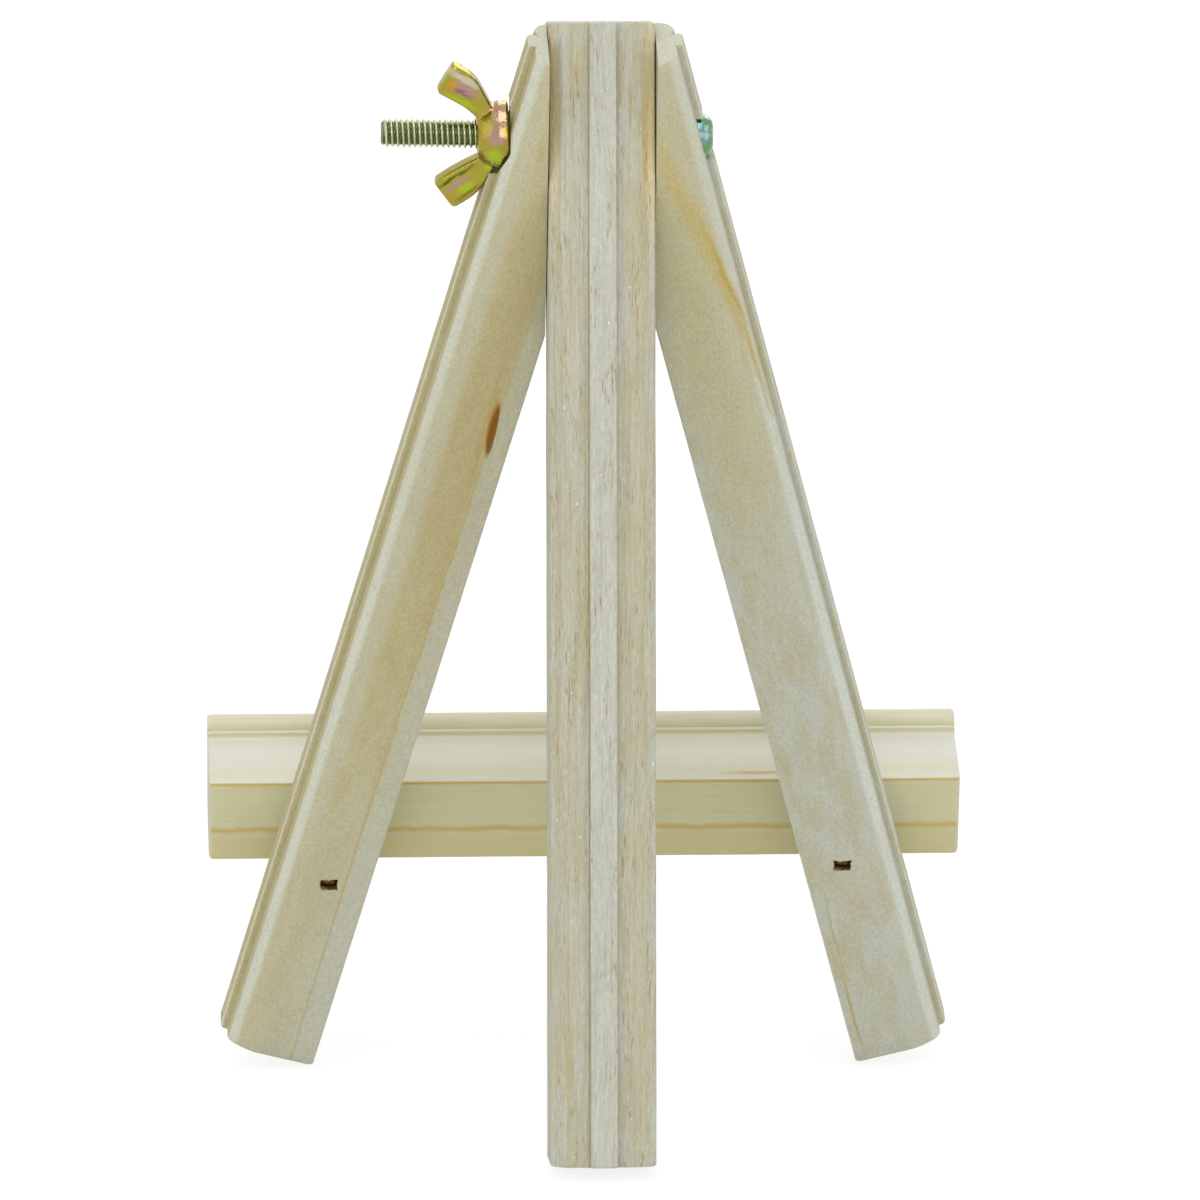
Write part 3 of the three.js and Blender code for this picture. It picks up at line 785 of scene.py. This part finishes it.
def yellow_plate(c):
    """Yellow passivated plate, whose film shows gold, green and pink stripes along the wings, with a
    painted highlight along the upper wing's top edge.
    """
    h = bpy.context.scene.easel_hardware
    s = Shading("yellow_plate")
    x, y, z = s.millimetres()
    base = (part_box("wing_nut")[0].x - h.nut_gap) / MM
    out = s.minus(x, base)
    rise = s.math("ABSOLUTE", z)
    cos, sin = math.cos(h.wing_lean), math.sin(h.wing_lean)
    along = s.plus(s.times(out, cos), s.times(rise, sin))
    across = s.minus(s.times(rise, cos), s.times(out, sin))
    place = s.vector(x, y, z)
    wavy = s.vector(s.times(along, 0.35), s.times(across, 1.4), s.times(y, 0.8))
    shift = s.times(s.minus(s.noise(wavy, 1, 3, 0.6), 0.5), 1.6)
    shifted = s.plus(across, shift)
    upper = s.math("GREATER_THAN", z, 0)
    wings = {1: upper, -1: s.rest(upper), 0: 1}
    cloud = s.smooth(s.noise(place, 0.42, 2, 0.5, 0.8), 0.45, 0.6)
    tone = s.blend(s.times(cloud, 0.5), c.yellow_zinc, c.green)
    for wing, middle, line, half_length, half_width, tint, strength in film_stripes(c):
        spread = s.oval(s.minus(along, middle), half_length, s.minus(shifted, line), half_width)
        share = s.times(s.rest(s.smooth(spread, 0.35, 1.1)), strength)
        tone = s.blend(s.times(share, wings[wing]), tone, tint)
    finish_plate(s, tone, place, 0.17)
    return s.material


def zinc_plate(c):
    """The screw's plate: blue and green on its head, golden green on its thread, with painted shade
    in the thread's roots.
    """
    s = Shading("zinc_plate")
    x, y, z = s.millimetres()
    place = s.vector(x, y, z)
    cloud = s.smooth(s.noise(place, 0.55, 2, 0.5, 1.0), 0.44, 0.58)
    bright = s.smooth(s.noise(s.vector(y, z, x), 0.7, 2), 0.52, 0.62)
    head = s.blend(cloud, c.zinc_blue, c.zinc_green)
    head = s.blend(s.times(bright, 0.6), head, c.zinc)
    radius = s.math("SQRT", s.plus(s.times(y, y), s.times(z, z)))
    # Painted shade: the thread's roots are blended to a dark colour.
    root_shade = s.rest(s.smooth(radius, 1.68, 1.95))
    thread = s.blend(s.times(root_shade, 0.8), c.thread, c.thread_root)
    tone = s.blend(s.smooth(x, -8, 0), head, thread)
    finish_plate(s, tone, place, 0.24)
    return s.material


def dull_steel(c):
    s = Shading("dull_steel")
    place = s.vector(*s.millimetres())
    tone = s.blend(s.smooth(s.noise(place, 0.8, 2), 0.45, 0.6), c.brad, c.torn)
    finish_plate(s, tone, place, 0.45)
    return s.material


def finish_plate(s, tone, place, roughness):
    """Makes a surface metal, with its tone, its roughness and slight unevenness."""
    worn = s.noise(place, 0.9, 3, 0.6)
    s.feed(s.surface.inputs["Base Color"], tone)
    s.surface.inputs["Metallic"].default_value = 1
    uneven = s.times(s.minus(worn, 0.5), 0.2)
    s.feed(s.surface.inputs["Roughness"], s.plus(uneven, roughness))
    bump = s.node("Bump", {"Height": worn, "Strength": 0.35, "Distance": 0.4 * MM})
    s.feed(s.surface.inputs["Normal"], bump.outputs[0])


def dress(piece, material, body, slot, *nodes):
    """Gives a finished piece its material and its body, in place of its CAD nodes. The slot is not
    used.
    """
    piece.data.materials.clear()
    piece.data.materials.append(material)
    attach(piece, body)
    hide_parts(*nodes)
    return piece


# ---- Wood ----


def stock_corners(t, relief=1):
    """The moulded stock's corners: x from the plain side, y from the back, and each one's radius."""
    side = t.width - t.strip_stand
    strip_end = t.strip_start + t.strip_width
    lobe = t.depth - strip_end
    crisp = 0.12 * MM
    soft = relief * 0.55 * MM
    return [
        (0, 0, t.corner),
        (side - relief * t.bevel_width, 0, 2 * soft),
        (side - 2 * soft, t.bevel_drop, 2 * soft),
        (side, t.bevel_drop + 2 * soft, 2 * soft),
        (side, t.strip_start - relief * t.notch, crisp),
        (side - relief * t.notch, t.strip_start, crisp),
        (t.width, t.strip_start, soft),
        (t.width, strip_end, soft),
        (side - relief * t.lobe_step, strip_end, crisp),
        (side, strip_end + 0.35 * lobe, relief * t.lobe_step),
        (side - relief * 0.3 * t.lobe_width, t.depth - 0.3 * lobe, 2 * soft),
        (side - relief * t.lobe_width, t.depth, 2 * soft),
        (0, t.depth, t.corner),
    ]


def front_leg(side):
    """A front leg, cut flat against the back leg and drilled for the screw and the brad."""
    t = bpy.context.scene.easel_timber
    h = bpy.context.scene.easel_hardware
    name = "left_leg" if side > 0 else "right_leg"
    outline = [Vector((side * p.x, t.depth / 2 - p.y)) for p in rounded(stock_corners(t))]
    bm = bar(outline, t.top - t.front_length, t.top, t.foot_rounding, t.top_rounding)
    place = front_leg_place(side)
    into_leg = place.inverted() @ front_frame()
    mitre = t.depth / 2 + t.back_swell + t.joint
    round_off = t.mitre_rounding
    for face, turn in ((1, 0), (1, 30), (1, 60), (-1, 30), (-1, 60)):
        lean = math.radians(turn)
        normal = Vector((-side * math.cos(lean), face * math.sin(lean), 0))
        centre = Vector((side * (mitre + round_off), face * (t.depth / 2 - round_off), 0))
        point = centre + normal * round_off
        slice_off(bm, into_leg @ point, into_leg.to_3x3() @ normal)
    leg = new_piece(name, bm, place)
    outward = Vector((side, 0, 0))
    seat = h.nut_seat if side > 0 else h.head_seat
    if side > 0:
        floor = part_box("wing_nut")[0].x - CLEARANCE
    else:
        floor = -(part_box("hinge_screw")[0].x + h.head_height) - CLEARANCE
    hole_place = brad_place(side)
    cutters = [
        cylinder("bore", t.bore, outward * BORE_START, outward * PAST),
        cylinder("seat", seat, outward * floor, outward * PAST, 96),
        torn_slot("hole", h.hole_width, h.hole_height, h.hole_depth, hole_place, 3 * side),
        cylinder("brad_bore", h.brad_bore, hole_place - Vector((0, PAST, 0)), hole_place, 12),
    ]
    for cutter in cutters:
        cutter.matrix_world = front_frame()
    carve(leg, cutters)
    weather(leg, 2, GRAIN_STEP, t.unevenness)
    smooth_shade(leg)
    return leg


def back_leg():
    """The back leg, moulded on its rear side and drilled for the screw."""
    t = bpy.context.scene.easel_timber
    body = t.width - t.strip_stand
    swell = 1 + 2 * t.back_swell / t.depth
    corners = rounded(stock_corners(t, t.back_relief))
    outline = [Vector(((t.depth / 2 - p.y) * swell, p.x - body / 2)) for p in corners]
    place = back_leg_place()
    foot = -(PIVOT.z - body / 2 * math.sin(t.back_lean)) / math.cos(t.back_lean)
    bm = bar(outline, foot, t.back_top, t.back_rounding, t.back_rounding)
    leg = new_piece("rear_leg", bm, place)
    reach = Vector((t.depth, 0, 0))
    bore = cylinder("bore", t.bore, -reach, reach)
    bore.matrix_world = place
    carve(leg, [bore])
    weather(leg, 2, GRAIN_STEP, t.unevenness)
    smooth_shade(leg)
    return leg


def ledge():
    """The ledge: a deck with a half-round lip along its front."""
    t = bpy.context.scene.easel_timber
    d = bpy.context.scene.easel_ledge
    place = front_frame()
    mount = place.inverted() @ Vector(frame["record"]["mounts"][0]["pos_m"])
    level = Matrix.Translation((0, 0, mount.z))
    tilted = place @ level @ Matrix.Rotation(d.tilt, 4, "Y") @ level.inverted()
    low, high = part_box("ledge")
    rear = -(t.depth / 2 + CLEARANCE)
    front = d.deck + d.slope + d.shelf + 2 * d.bead
    bead = d.deck + d.slope + d.shelf + d.bead
    steps = 12
    arc = [math.pi * i / steps for i in range(steps + 1)]
    corners = [
        (0, 0, d.corner), (0, -d.height, d.corner), (front - d.nose, -d.height, d.nose),
        (front, d.nose - d.height, d.nose),
    ]
    corners += [(bead + d.bead * math.cos(a), d.step + d.bead * math.sin(a), 0) for a in arc]
    corners += [(d.deck + d.slope, d.step, 0.3 * MM), (d.deck, 0, 0.6 * MM)]
    points = rounded(corners)
    outline = [Vector((rear - p.x, mount.z + p.y)) for p in points]
    ends = (low.x + d.end_slack, high.x - d.end_slack)
    bm = bar(outline, *ends, d.end_rounding, d.end_rounding)
    turn = Matrix(((0, 0, 1), (1, 0, 0), (0, 1, 0)))
    bmesh.ops.transform(bm, matrix=turn.to_4x4(), verts=bm.verts)
    board = new_piece("picture_ledge", bm, tilted)
    weather(board, 0, GRAIN_STEP, d.unevenness)
    smooth_shade(board)
    return board


# ---- Hardware ----


def screw_place(h):
    """The screw's axis, which lies slightly askew through the nut."""
    rest = Vector((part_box("wing_nut")[0].x, PIVOT.y, PIVOT.z))
    back = Matrix.Translation((-rest.x, 0, 0))
    return Matrix.Translation(rest) @ Matrix.Rotation(-h.screw_slack, 4, "Y") @ back


def screw():
    """The machine screw: a domed head with a cross recess and a true helical thread."""
    h = bpy.context.scene.easel_hardware
    low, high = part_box("hinge_screw")
    crown, tip = low.x, high.x
    under = crown + h.head_height
    flat = 0.45
    profile = [(crown, 0)]
    for step in range(9):
        turn = math.pi / 2 * step / 8
        radius = h.head_radius * (flat + (1 - flat) * math.sin(turn))
        profile.append((crown + (h.head_height - h.head_rim) * (1 - math.cos(turn)), radius))
    profile += [(under - 0.12 * MM, h.head_radius), (under, h.head_radius - 0.12 * MM)]
    profile += [(under, h.thread_radius), (tip - h.threaded - h.pitch, h.thread_radius)]
    start = tip - h.threaded
    segments, per_turn = 48, 12
    bm = lathe(profile + [(start, h.thread_radius), (tip, 0)], segments)
    doomed = [v for v in bm.verts if v.co.x > start - 0.01 * MM]
    bmesh.ops.delete(bm, geom=doomed, context="VERTS")
    rim = {v for e in bm.edges if e.is_boundary for v in e.verts}
    loops = [sorted(rim, key=lambda v: math.atan2(v.co.z, v.co.y) % (2 * math.pi))]
    rings = round(h.threaded / h.pitch * per_turn)
    for ring in range(rings + 1):
        x = start + h.threaded * ring / rings
        loop = []
        for i in range(segments):
            turn = 2 * math.pi * i / segments
            phase = ((x - start) / h.pitch - i / segments) % 1
            # The tooth is 1 on the crest and 0 in the root, and grows in over the first turn.
            tooth = min(1, max(0, 1.3 * abs(2 * phase - 1) - 0.15))
            grown = min(1, (x - start) / h.pitch)
            depth = (h.thread_radius - h.thread_root) * grown
            radius = h.thread_radius - depth * (1 - tooth)
            # The tip is chamfered.
            radius = min(radius, h.thread_root - 0.15 * MM + (tip - x) * 0.9)
            loop.append(bm.verts.new((x, radius * math.cos(turn), radius * math.sin(turn))))
        loops.append(loop)
    skin(bm, loops)
    bm.faces.new(loops[-1])
    place = screw_place(h)
    bolt = new_piece("machine_screw", bm, place)
    cutters = []
    for turn in (0, 90):
        cutter = bmesh.new()
        bmesh.ops.create_cube(cutter, size=1)
        # The recess narrows as it goes in.
        for v in cutter.verts:
            deep = v.co.x > 0
            v.co.x = crown + (h.recess_depth if deep else -1 * MM)
            v.co.y *= h.recess_width * (0.7 if deep else 1.15)
            v.co.z *= h.recess_span * (0.35 if deep else 1.05)
        spin = Matrix.Rotation(math.radians(turn), 3, "X")
        bmesh.ops.rotate(cutter, matrix=spin, verts=cutter.verts)
        cutters.append(new_piece("recess", cutter, place))
    carve(bolt, cutters)
    smooth_shade(bolt, 40)
    return bolt


def wing_outline(h, rise, reach):
    """One wing: x from the nut's base, y from the screw's axis."""
    inner = reach - h.wing_width * math.cos(h.wing_lean)
    outer = rise - h.wing_width * math.sin(h.wing_lean)
    crotch = rise - (inner - h.nut_radius) / math.tan(h.wing_lean)
    return [
        (1.2 * MM, 2.7 * MM, 0), (2.4 * MM, 4.9 * MM, 0.4 * MM), (0.42 * rise, 0.8 * reach, 2 * MM),
        (outer, reach, 0.7 * MM), (rise, inner, 0.7 * MM), (crotch, h.nut_radius, 3 * MM),
        (h.nut_height - 0.3 * MM, 2.7 * MM, 0),
    ]


def wing_nut():
    """A cast wing nut: a domed barrel that flows into two thick wings."""
    h = bpy.context.scene.easel_hardware
    low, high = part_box("wing_nut")
    base = low.x - h.nut_gap
    rise = high.x - base
    reach = (high.z - low.z) / 2 + h.wing_spare
    tall = h.nut_height + h.nut_gap
    wide = h.nut_radius
    barrel = [
        (0, 0), (0, wide), (0.25 * MM, wide + 0.35 * MM), (0.3 * tall, wide + 0.35 * MM),
        (0.55 * tall, wide - 0.05 * MM), (0.8 * tall, wide - 0.75 * MM),
        (0.95 * tall, wide - 1.45 * MM), (tall, wide - 2.0 * MM), (tall, 0),
    ]
    bm = lathe([(base + x, radius) for x, radius in barrel], 48)
    for side in (1, -1):
        longer, shorter = (0, 0) if side > 0 else (h.lower_wing, h.lower_short)
        outline = rounded(wing_outline(h, rise + longer, reach - shorter))
        middle = sum(outline, Vector((0, 0))) / len(outline)
        loops = []
        for level, inset in WING_LAYERS:
            loop = []
            for p in outline:
                q = p + (middle - p).normalized() * inset * MM
                loop.append(bm.verts.new((base + q.x, level * h.wing_thickness, side * q.y)))
            loops.append(loop)
        skin(bm, loops)
        bm.faces.new(loops[0])
        bm.faces.new(loops[-1])
    seat = Vector((base, PIVOT.y, PIVOT.z))
    turn = Matrix.Rotation(h.nut_tilt, 4, "Y") @ Matrix.Rotation(-h.wing_twist, 4, "X")
    place = Matrix.Translation(seat) @ turn @ Matrix.Translation((-base, 0, 0))
    nut = new_piece("cast_wing_nut", bm, place)
    remesh = nut.modifiers.new("Cast", "REMESH")
    remesh.mode = "VOXEL"
    remesh.voxel_size = CASTING_CELL
    remesh.use_smooth_shade = True
    flow = nut.modifiers.new("Flow", "SMOOTH")
    flow.factor = 0.5
    flow.iterations = 6
    apply_modifiers(nut)
    start, end = (Vector((base + x, 0, 0)) for x in NUT_CUT)
    hole = cylinder("hole", h.nut_bore, start, end)
    hole.matrix_world = screw_place(h)
    carve(nut, [hole])
    smooth_shade(nut, 50)
    return nut


def brad(side):
    """A brad: a flattened head and a square shank, sunk into its torn hole."""
    name = "left_nail" if side > 0 else "right_nail"
    place = front_frame() @ Matrix.Translation(brad_place(side))
    bm = bmesh.new()
    for width, height, start, end in BRAD_PARTS:
        across, up = width / 2 * MM, height / 2 * MM
        corners = [(-across, -up), (across, -up), (across, up), (-across, up)]
        outline = rounded([(x, y, 0.2 * MM) for x, y in corners], 3)
        loops = []
        for y, s in ((start, 0.85), (start - 0.1, 1), (end + 0.1, 1), (end, 0.8)):
            loops.append([bm.verts.new((p.x * s, y * MM, p.y * s)) for p in outline])
        skin(bm, loops)
        bm.faces.new(loops[0])
        bm.faces.new(loops[-1])
    nail = new_piece(name, bm, place)
    smooth_shade(nail, 45)
    return nail


# ---- Stage ----


def lamp(name, place, width, height, power):
    """A soft lamp that shines on the middle of the easel."""
    light = bpy.data.lights.new(name, "AREA")
    light.shape = "RECTANGLE"
    light.size, light.size_y, light.energy = width, height, power
    made = bpy.data.objects.new(name, light)
    made.location = place
    shine = Vector((0, 0, 80 * MM)) - made.location
    made.rotation_euler = shine.to_track_quat("-Z", "Y").to_euler()
    bpy.context.scene.collection.objects.link(made)


def backdrop_share(s):
    """1 on rays from the camera, in reflections and through glass."""
    path = s.node("LightPath")
    seen = s.math("MAXIMUM", path.outputs["Is Camera Ray"], path.outputs["Is Glossy Ray"])
    return s.math("MAXIMUM", seen, path.outputs["Is Transmission Ray"])


# ---- Operators ----


class EASEL_OT_front_legs(Operator):
    """Add the two front legs"""

    bl_idname = "easel.front_legs"
    bl_label = "Front Legs"

    def execute(self, context):
        colours = context.scene.easel_colours
        looks = {1: left_leg_look(colours), -1: right_leg_look(colours)}
        for side, node in ((1, "left_front_leg"), (-1, "right_front_leg")):
            wood = timber(f"{node}_wood", looks[side])
            dress(front_leg(side), wood, "front_frame", "leg_wood", node)
        return {"FINISHED"}


class EASEL_OT_back_leg(Operator):
    """Add the back leg"""

    bl_idname = "easel.back_leg"
    bl_label = "Back Leg"

    def execute(self, context):
        wood = timber("back_leg_wood", back_leg_look(context.scene.easel_colours))
        dress(back_leg(), wood, "back_leg", "back_leg_wood", "back_leg")
        return {"FINISHED"}


class EASEL_OT_ledge(Operator):
    """Add the ledge"""

    bl_idname = "easel.ledge"
    bl_label = "Ledge"

    def execute(self, context):
        wood = timber("ledge_wood", ledge_look(context.scene.easel_colours))
        dress(ledge(), wood, "front_frame", "ledge_wood", "ledge")
        return {"FINISHED"}


class EASEL_OT_screw(Operator):
    """Add the machine screw"""

    bl_idname = "easel.screw"
    bl_label = "Screw"

    def execute(self, context):
        c = context.scene.easel_colours
        dress(screw(), zinc_plate(c), "hinge_screw", "blue_zinc", "hinge_screw")
        return {"FINISHED"}


class EASEL_OT_wing_nut(Operator):
    """Add the wing nut"""

    bl_idname = "easel.wing_nut"
    bl_label = "Wing Nut"

    def execute(self, context):
        c = context.scene.easel_colours
        dress(wing_nut(), yellow_plate(c), "wing_nut", "yellow_zinc", "wing_nut")
        return {"FINISHED"}


class EASEL_OT_brads(Operator):
    """Add the brads that hold the ledge"""

    bl_idname = "easel.brads"
    bl_label = "Brads"

    def execute(self, context):
        c = context.scene.easel_colours
        steel = dull_steel(c)
        for side, node in ((1, "left_brad"), (-1, "right_brad")):
            dress(brad(side), steel, "front_frame", "brad_steel", node)
        return {"FINISHED"}


class EASEL_OT_stage(Operator):
    """Add the floor, the lamps and the camera"""

    bl_idname = "easel.stage"
    bl_label = "Stage"

    def execute(self, context):
        scene = context.scene
        stage = scene.easel_stage
        scene.view_settings.view_transform = "Standard"
        self.make_floor(scene)
        self.make_world(scene, stage)
        lamp("key_lamp", (0.1, 0.35, 1.3), 0.9, 0.9, stage.key)
        lamp("rear_lamp", (0.1, 1.5, 0.6), 0.9, 0.9, stage.rear)
        lamp("left_lamp", (1.1, 0.4, 0.45), 0.7, 0.9, stage.side)
        lamp("right_lamp", (-1.1, 0.4, 0.45), 0.7, 0.9, stage.side)
        lamp("front_lamp", (-0.3, -1.1, 0.9), 0.9, 0.9, stage.front)
        self.make_camera(scene, stage)
        return {"FINISHED"}

    def make_floor(self, scene):
        bm = bmesh.new()
        bmesh.ops.create_circle(bm, cap_ends=True, segments=96, radius=6)
        floor = new_piece("floor", bm, Matrix.Translation((0, 0, -0.05 * MM)))
        s = Shading("studio_floor")
        tree = s.tree
        tone = (*scene.easel_colours.floor, 1)
        bounce = s.node("BsdfDiffuse", {"Color": tone})
        faint = s.node("BsdfDiffuse", {"Color": (0.22, 0.22, 0.22, 1)})
        glow = s.node("Emission", {"Color": (1, 1, 1, 1), "Strength": 0.84})
        white = s.node("AddShader", {0: faint.outputs[0], 1: glow.outputs[0]})
        mix = s.node("MixShader", {0: backdrop_share(s), 1: bounce.outputs[0], 2: white.outputs[0]})
        tree.links.new(mix.outputs[0], tree.nodes["Material Output"].inputs["Surface"])
        tree.nodes.remove(s.surface)
        floor.data.materials.append(s.material)

    def make_world(self, scene, stage):
        scene.world = bpy.data.worlds.new("studio")
        s = Shading("studio", scene.world)
        sky = s.tree.nodes["Background"]
        sky.inputs["Color"].default_value = (1, 1, 1, 1)
        seen = backdrop_share(s)
        strength = s.plus(stage.sky, s.times(seen, 1 - stage.sky))
        s.tree.links.new(strength, sky.inputs["Strength"])

    def make_camera(self, scene, stage):
        camera = bpy.data.objects.new("camera", bpy.data.cameras.new("camera"))
        scene.collection.objects.link(camera)
        camera.data.sensor_width = 36
        camera.data.lens = stage.lens
        camera.data.clip_start = 0.1
        target = Vector((stage.aim_side, PIVOT.y + stage.aim_back, stage.aim_height))
        level = math.cos(stage.elevation)
        across, behind = math.sin(stage.azimuth) * level, math.cos(stage.azimuth) * level
        back = Vector((across, behind, math.sin(stage.elevation)))
        look = (-back).to_track_quat("-Z", "Y").to_matrix().to_4x4()
        spin = Matrix.Rotation(stage.roll, 4, "Z")
        camera.matrix_world = Matrix.Translation(target + back * stage.distance) @ look @ spin
        scene.camera = camera


class EASEL_PT_parts(Panel):
    """The easel's pieces"""

    bl_idname = "EASEL_PT_parts"
    bl_label = "Table Easel"
    bl_space_type = "VIEW_3D"
    bl_region_type = "UI"
    bl_category = "Easel"

    def draw(self, context):
        column = self.layout.column()
        for operator in OPERATORS:
            column.operator(operator.bl_idname)
        for group in GROUPS:
            settings = getattr(context.scene, group)
            for name in GROUPS[group].__annotations__:
                column.prop(settings, name)


GROUPS = {
    "easel_timber": EaselTimber,
    "easel_ledge": EaselLedge,
    "easel_hardware": EaselHardware,
    "easel_colours": EaselColours,
    "easel_stage": EaselStage,
}
OPERATORS = (
    EASEL_OT_front_legs,
    EASEL_OT_back_leg,
    EASEL_OT_ledge,
    EASEL_OT_screw,
    EASEL_OT_wing_nut,
    EASEL_OT_brads,
    EASEL_OT_stage,
)


def register():
    for name, group in GROUPS.items():
        bpy.utils.register_class(group)
        setattr(bpy.types.Scene, name, PointerProperty(type=group))
    for operator in OPERATORS:
        bpy.utils.register_class(operator)
    bpy.utils.register_class(EASEL_PT_parts)


def unregister():
    bpy.utils.unregister_class(EASEL_PT_parts)
    for operator in reversed(OPERATORS):
        bpy.utils.unregister_class(operator)
    for name, group in reversed(GROUPS.items()):
        delattr(bpy.types.Scene, name)
        bpy.utils.unregister_class(group)


def main():
    register()
    bpy.ops.easel.front_legs()
    bpy.ops.easel.back_leg()
    bpy.ops.easel.ledge()
    bpy.ops.easel.screw()
    bpy.ops.easel.wing_nut()
    bpy.ops.easel.brads()
    bpy.ops.easel.stage()


if __name__ == "__main__":
    main()
